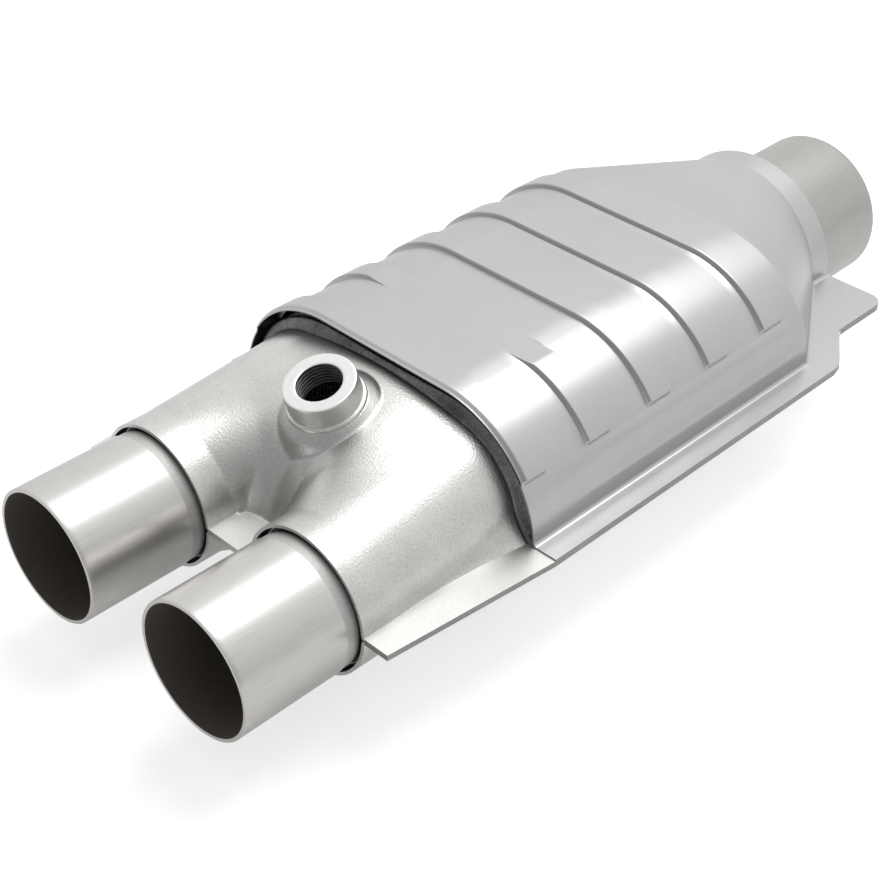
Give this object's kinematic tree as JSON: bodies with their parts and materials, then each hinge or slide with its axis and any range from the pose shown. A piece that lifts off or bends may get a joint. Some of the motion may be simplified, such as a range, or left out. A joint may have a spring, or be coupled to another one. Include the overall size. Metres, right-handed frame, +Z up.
{
  "type": "catalytic converter",
  "caption": "Clamshell catalytic converter with twin inlet pipes joining in a Y, a ribbed heat shield, a tilted sensor boss and a larger outlet pipe.",
  "frame": {"origin": "under the middle of the part, on the plane of the lower shell's flat underside", "axes": "+Y runs from the inlets to the outlet, +Z points up through the heat shield, X runs across the two inlets"},
  "size_m": [0.168, 0.3824, 0.0915],
  "materials": {
    "shell_steel": "satin blasted stainless sheet",
    "shield_steel": "smooth cold rolled sheet, softly reflective",
    "pipe_steel": "drawn tube with fine lines along its axis",
    "boss_steel": "turned",
    "weld_bead": "as welded",
    "brick_ceramic": "washcoated honeycomb, matt",
    "mat_fibre": "pressed fibre",
    "seal_wire": "knitted wire"
  },
  "bodies": {
    "root": {"upper_shell": "shell_steel", "lower_shell": "shell_steel", "heat_shield": "shield_steel", "inlet_pipe_left": "pipe_steel", "inlet_pipe_right": "pipe_steel", "outlet_pipe": "pipe_steel", "sensor_boss": "boss_steel", "sensor_boss_weld": "weld_bead", "inlet_weld_left": "weld_bead", "inlet_weld_right": "weld_bead", "outlet_weld": "weld_bead", "front_brick": "brick_ceramic", "front_mat": "mat_fibre", "front_mat_seal_inlet": "seal_wire", "front_mat_seal_outlet": "seal_wire", "rear_brick": "brick_ceramic", "rear_mat": "mat_fibre", "rear_mat_seal_inlet": "seal_wire", "rear_mat_seal_outlet": "seal_wire"}
  },
  "joints": []
}
